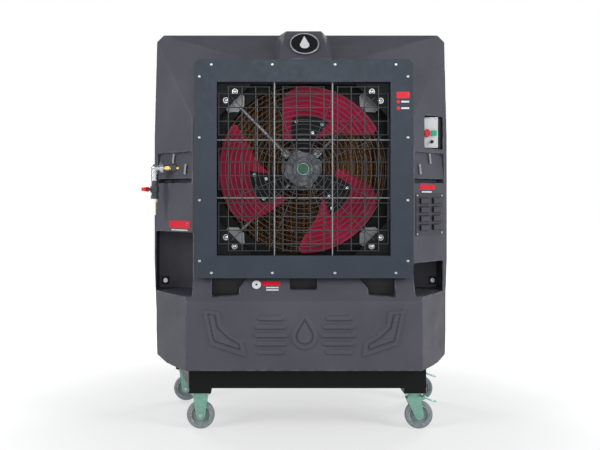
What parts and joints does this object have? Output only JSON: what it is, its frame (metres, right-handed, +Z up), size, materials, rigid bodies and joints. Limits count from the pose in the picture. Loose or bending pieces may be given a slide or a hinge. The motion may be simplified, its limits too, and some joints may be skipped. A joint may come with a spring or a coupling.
{
  "type": "portable evaporative cooler",
  "caption": "Tall cabinet fan cooler on castors: square grilled outlet with pitched fan blades, moulded water tank below, corrugated wet pads at the back.",
  "frame": {"origin": "on the floor, under the fan's axis and midway between front and back", "axes": "+X right as seen from the front, +Y to the back, +Z up; air leaves towards -Y"},
  "size_m": [1.715, 0.868, 2.174],
  "materials": {
    "moulded_pe": "rotomoulded, fine pebble",
    "black_steel": "satin black paint",
    "blue_grey_steel": "semi-gloss powder coat",
    "zinc_fastener": "bright zinc",
    "wire_grey": "grey powder coat",
    "wire_dark": "dark powder coat",
    "galvanised": "galvanised",
    "cast_alloy": "as cast",
    "motor_grey": "satin enamel",
    "cellulose": "corrugated, resin treated",
    "white_pipe": "smooth",
    "pump_plastic": "moulded",
    "brass": "machined",
    "chromed": "plated",
    "hose_pale": "smooth",
    "white_plastic": "moulded",
    "black_rubber": "moulded",
    "dark_plastic": "moulded",
    "painted_cover": "satin paint",
    "badge_black": "moulded",
    "zinc_plated": "passivated zinc",
    "green_plastic": "moulded",
    "crimson_blade": "moulded",
    "red_paint": "gloss paint",
    "red_plastic": "moulded",
    "green_button": "moulded",
    "orange_float": "moulded",
    "grey_wheel": "moulded tread on plastic core"
  },
  "bodies": {
    "cabinet": {"housing": "moulded_pe", "base_frame": "black_steel", "outlet_frame": "blue_grey_steel", "panel_screws": "zinc_fastener", "front_grille": "wire_grey", "fan_guard": "wire_dark", "corner_plates": "black_steel", "corner_bolts": "zinc_fastener", "fan_panel": "black_steel", "strut_feet": "galvanised", "motor_struts": "galvanised", "motor_mount": "cast_alloy", "motor": "motor_grey", "pad_rack": "galvanised", "pad_left": "cellulose", "pad_centre": "cellulose", "pad_right": "cellulose", "pad_guard": "galvanised", "distribution_pipe": "white_pipe", "riser_pipe": "white_pipe", "pump": "pump_plastic", "fill_pipe": "white_pipe", "float_valve": "brass", "inlet_fitting": "brass", "inlet_elbow": "chromed", "ball_valve": "motor_grey", "hose_tail": "hose_pale", "drain_cap": "white_plastic", "pocket_plates": "black_rubber", "pocket_bolts": "zinc_fastener", "control_box": "dark_plastic", "control_plate": "white_plastic", "louvre_cover": "painted_cover", "badge": "badge_black", "grip_bars": "galvanised", "cable_gland": "dark_plastic", "rigid_forks": "zinc_plated", "rigid_axles": "zinc_fastener", "swivel_plates": "zinc_plated", "castor_bolts": "zinc_fastener"},
    "fan": {"rotor_hub": "cast_alloy", "hub_cap": "green_plastic", "fan_blades": "crimson_blade", "blade_plates": "black_steel", "blade_bolts": "zinc_fastener", "motor_shaft": "zinc_fastener"},
    "inlet_handle": {"valve_handle": "red_paint"},
    "stop": {"stop_button": "red_plastic"},
    "start": {"start_button": "green_button"},
    "pump_knob": {"pump_switch": "dark_plastic"},
    "float": {"float_arm": "orange_float"},
    "front_swivel": {"swivel_fork_front": "zinc_plated"},
    "rear_swivel": {"swivel_fork_rear": "zinc_plated"},
    "front_pedal": {"brake_pedal_front": "zinc_plated"},
    "rear_pedal": {"brake_pedal_rear": "zinc_plated"},
    "front_left_wheel": {"wheel_front_left": "grey_wheel"},
    "rear_left_wheel": {"wheel_rear_left": "grey_wheel"},
    "front_right_wheel": {"wheel_front_right": "grey_wheel"},
    "rear_right_wheel": {"wheel_rear_right": "grey_wheel"}
  },
  "joints": [
    {"name": "fan_spin", "type": "hinge", "parent": "cabinet", "child": "fan", "pos_m": [0, -0.3, 1.395], "axis": [0, -1, 0], "continuous": true},
    {"name": "inlet_valve", "type": "hinge", "parent": "cabinet", "child": "inlet_handle", "pos_m": [-0.842, -0.235, 1.288], "axis": [1, 0, 0], "range_deg": [0, 90]},
    {"name": "stop_press", "type": "slide", "parent": "cabinet", "child": "stop", "axis": [0, 1, 0], "range_m": [0, 0.005], "stiffness_N_per_m": 600},
    {"name": "start_press", "type": "slide", "parent": "cabinet", "child": "start", "axis": [0, 1, 0], "range_m": [0, 0.004], "stiffness_N_per_m": 600},
    {"name": "pump_turn", "type": "hinge", "parent": "cabinet", "child": "pump_knob", "pos_m": [0.718, -0.2, 1.55], "axis": [0, 1, 0], "range_deg": [0, 90]},
    {"name": "float_swing", "type": "hinge", "parent": "cabinet", "child": "float", "pos_m": [-0.56, 0.12, 0.64], "axis": [0, -1, 0], "range_deg": [0, 60]},
    {"name": "front_swivel_turn", "type": "hinge", "parent": "cabinet", "child": "front_swivel", "pos_m": [0.596, -0.285, 0.18], "axis": [0, 0, 1], "continuous": true},
    {"name": "rear_swivel_turn", "type": "hinge", "parent": "cabinet", "child": "rear_swivel", "pos_m": [0.726, 0.31, 0.18], "axis": [0, 0, 1], "continuous": true},
    {"name": "front_brake", "type": "hinge", "parent": "front_swivel", "child": "front_pedal", "pos_m": [0.651, -0.285, 0.166], "axis": [0, 1, 0], "range_deg": [0, 12]},
    {"name": "rear_brake", "type": "hinge", "parent": "rear_swivel", "child": "rear_pedal", "pos_m": [0.781, 0.31, 0.166], "axis": [0, 1, 0], "range_deg": [0, 12]},
    {"name": "front_left_roll", "type": "hinge", "parent": "cabinet", "child": "front_left_wheel", "pos_m": [-0.548, -0.285, 0.075], "axis": [0, 1, 0], "continuous": true},
    {"name": "rear_left_roll", "type": "hinge", "parent": "cabinet", "child": "rear_left_wheel", "pos_m": [-0.678, 0.31, 0.075], "axis": [0, 1, 0], "continuous": true},
    {"name": "front_right_roll", "type": "hinge", "parent": "front_swivel", "child": "front_right_wheel", "pos_m": [0.626, -0.285, 0.075], "axis": [0, 1, 0], "continuous": true},
    {"name": "rear_right_roll", "type": "hinge", "parent": "rear_swivel", "child": "rear_right_wheel", "pos_m": [0.756, 0.31, 0.075], "axis": [0, 1, 0], "continuous": true}
  ]
}
